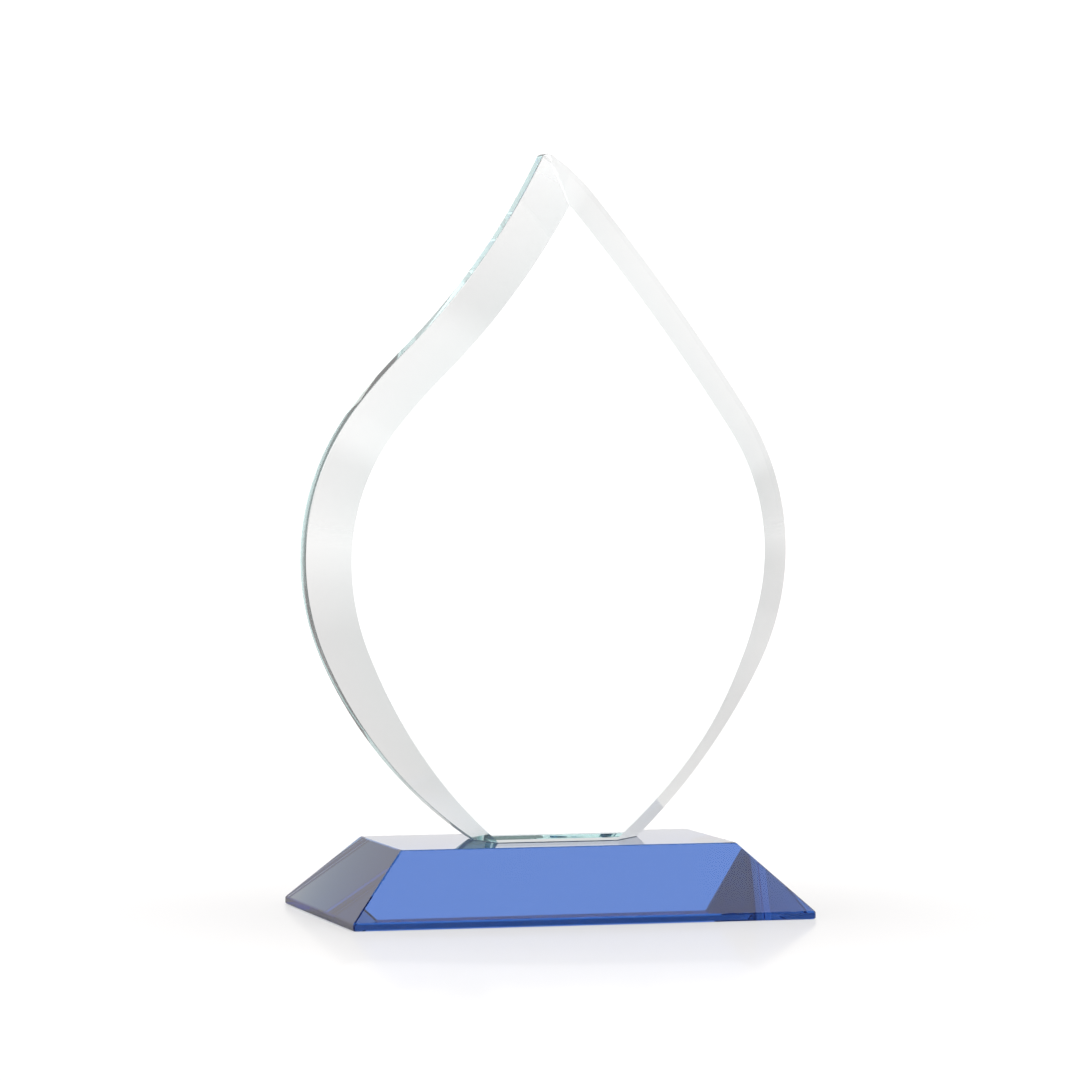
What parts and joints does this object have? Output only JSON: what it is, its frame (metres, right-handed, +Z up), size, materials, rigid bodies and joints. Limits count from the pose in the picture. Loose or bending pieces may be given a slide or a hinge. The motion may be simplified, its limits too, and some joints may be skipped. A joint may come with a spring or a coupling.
{
  "type": "flame crystal award",
  "caption": "Desk award: a clear bevelled crystal flame standing upright on a transparent blue bevelled block, with plain faces.",
  "frame": {"origin": "middle of the block's flat underside", "axes": "+Z up, +X along the block's length to the right of someone who looks at the bevelled front, -Y out of the front face"},
  "size_m": [0.1381, 0.082, 0.2096],
  "materials": {
    "blue_crystal": "polished blue optical crystal, ground chamfers",
    "clear_adhesive": "clear cured film",
    "clear_crystal": "polished clear optical crystal, ground bevel"
  },
  "bodies": {
    "root": {"base_block": "blue_crystal", "bond_film": "clear_adhesive", "flame_plate": "clear_crystal"}
  },
  "joints": []
}
